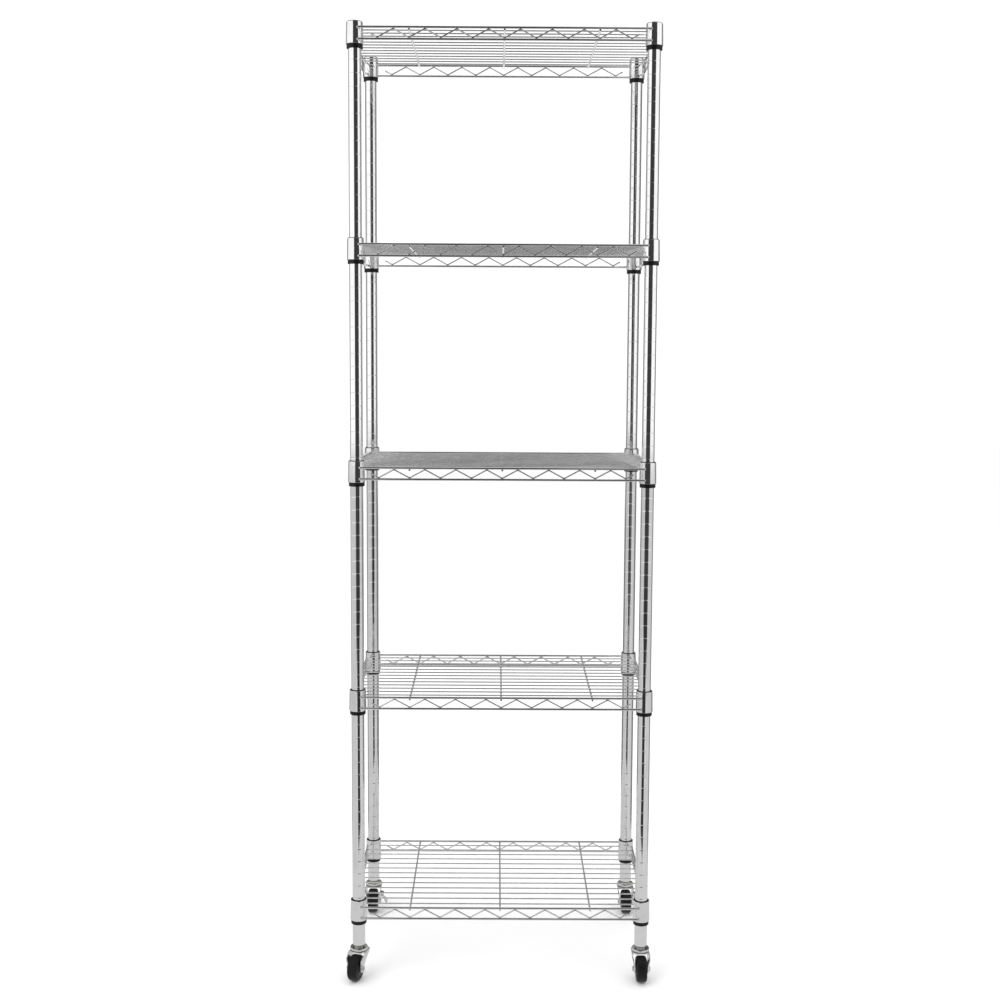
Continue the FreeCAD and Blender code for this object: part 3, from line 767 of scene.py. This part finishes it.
def stage_plane(name, centre, right, up, material):
    """A flat stage card given by its centre and two half extents."""
    mesh = bpy.data.meshes.new(name)
    corners = [centre - right - up, centre + right - up, centre + right + up, centre - right + up]
    mesh.from_pydata([tuple(c) for c in corners], [], [(0, 1, 2, 3)])
    mesh.materials.append(material)
    card = bpy.data.objects.new(name, mesh)
    scene.collection.objects.link(card)
    return card


def smooth(start, end, value):
    share = min(max((value - start) / (end - start), 0.0), 1.0)
    return share * share * (3 - 2 * share)


def between(value, low, high, soft):
    return smooth(low - soft, low + soft, value) * (1 - smooth(high - soft, high + soft, value))


# What the plating reflects, painted in this order on the tent's wall: azimuths and heights from and to,
# softness in degrees, brightness. Azimuth 0 is the camera's side of the studio and grows to the right.
TENT_RADIUS, TENT_HEIGHT, TENT_FLOOR = 1.1, 4.2, 0.85
SURROUNDINGS = [
    (-200, 200, 2.7, 5.0, 4, 0.35),
    (-200, -142, -1, 2.7, 4, 0.85),
    (137, 200, -1, 2.7, 4, 0.85),
    (-200, -142, -1, 0.8, 4, 0.25),
    (137, 200, -1, 0.8, 4, 0.25),
    (-142, -92, -1, 3.6, 4, 0.6),
    (88, 137, -1, 3.6, 4, 0.36),
    (-158, -145, -1, 3.2, 2, 0.06),
    (146, 158, -1, 3.2, 2, 0.06),
    (-136, -118, -1, 3.2, 2, 0.08),
    (112, 126, -1, 3.2, 2, 0.08),
    (-95, -28, -1, 2.5, 3, 1.15),
    (-95, -28, -1, 1.0, 3, 0.62),
    (-95, -28, 2.5, 4.0, 5, 0.25),
    (38, 90, -1, 4.0, 3, 1.1),
    (38, 90, -1, 1.0, 3, 0.66),
    (-28, 38, 0.45, 3.9, 2, 0.05),
    (-16, 24, -1, 0.6, 2, 0.035),
    (14, 100, 2.6, 5.0, 5, 0.85),
]
CEILING, GROUND = 0.6, 0.66
CEILING_EDGE = 0.6  # the radius from which the ceiling's tone passes into the wall's


def surroundings(azimuth, height):
    tone = 0.7
    for left, right, low, high, soft, colour in SURROUNDINGS:
        share = between(azimuth, left, right, soft) * between(height, low, high, 0.07)
        tone += (colour - tone) * share
    return tone


def reflection_tent(around=360):
    """A drum round the rack that only reflections see: softboxes, a dark camera side and a pale floor."""
    steps = [(TENT_RADIUS * k / 16, 0.0) for k in range(1, 16)]
    steps += [(TENT_RADIUS, TENT_HEIGHT * k / 90) for k in range(91)]
    steps += [(TENT_RADIUS * k / 8, TENT_HEIGHT) for k in range(7, 0, -1)]
    rings, tones = [], []
    for radius, height in steps:
        ring = []
        for k in range(around):
            azimuth = -180.0 + 360.0 * k / around
            a = math.radians(azimuth)
            ring.append(Vector((math.sin(a) * radius, -math.cos(a) * radius, height)))
            tone = surroundings(azimuth, height)
            tone += (GROUND - tone) * (1 - smooth(TENT_FLOOR - 0.04, TENT_FLOOR + 0.04, radius))
            if height == TENT_HEIGHT:
                tone = CEILING + (tone - CEILING) * smooth(CEILING_EDGE, TENT_RADIUS, radius)
            tones.append(tone)
        rings.append(ring)
    tent = Shape()
    tent.grid(rings, caps=True)
    mesh = bpy.data.meshes.new("reflection_tent")
    mesh.from_pydata([tuple(v) for v in tent.verts], [], tent.faces)
    painted = mesh.attributes.new("tone", "FLOAT", "POINT")
    painted.data.foreach_set("value", tones)
    material = bpy.data.materials.new("reflection_tent")
    material.use_nodes = True
    tree = material.node_tree
    tree.nodes.remove(tree.nodes["Principled BSDF"])
    glow = tree.nodes.new("ShaderNodeEmission")
    paint = tree.nodes.new("ShaderNodeAttribute")
    paint.attribute_name = "tone"
    tree.links.new(paint.outputs["Fac"], glow.inputs["Strength"])
    tree.links.new(glow.outputs["Emission"], tree.nodes["Material Output"].inputs["Surface"])
    material.cycles.emission_sampling = "NONE"
    mesh.materials.append(material)
    drum = bpy.data.objects.new("reflection_tent", mesh)
    scene.collection.objects.link(drum)
    drum.location = (0, 0, -0.003)
    for ray in ("camera", "diffuse", "shadow", "transmission", "volume_scatter"):
        setattr(drum, "visible_" + ray, False)


paper = plain("floor_paper", 0.9)
floor = stage_plane("floor", Vector((0, 0, 0)), Vector((14, 0, 0)), Vector((0, 14, 0)), paper)
floor.visible_glossy = False

world = bpy.data.worlds.new("studio")
scene.world = world
world.use_nodes = True
world.node_tree.nodes["Background"].inputs["Color"].default_value = (1.0, 1.0, 1.0, 1.0)
world.node_tree.nodes["Background"].inputs["Strength"].default_value = 1.12


def softbox(name, place, target, width, height, power):
    data = bpy.data.lights.new(name, "AREA")
    data.shape = "RECTANGLE"
    data.size = width
    data.size_y = height
    data.energy = power
    light = bpy.data.objects.new(name, data)
    scene.collection.objects.link(light)
    light.location = place
    light.rotation_mode = "QUATERNION"
    light.rotation_quaternion = (Vector(target) - Vector(place)).to_track_quat("-Z", "Y")
    light.visible_camera = False
    light.visible_glossy = False


softbox("key", (-2.4, -2.2, 3.6), (0, 0, 0.7), 2.2, 2.2, 40)
softbox("top", (0, 0.4, 4.6), (0, 0, 0), 3.0, 3.0, 30)

reflection_tent()

scene.view_settings.view_transform = "Standard"
scene.view_settings.look = "None"
scene.view_settings.exposure = 0.0
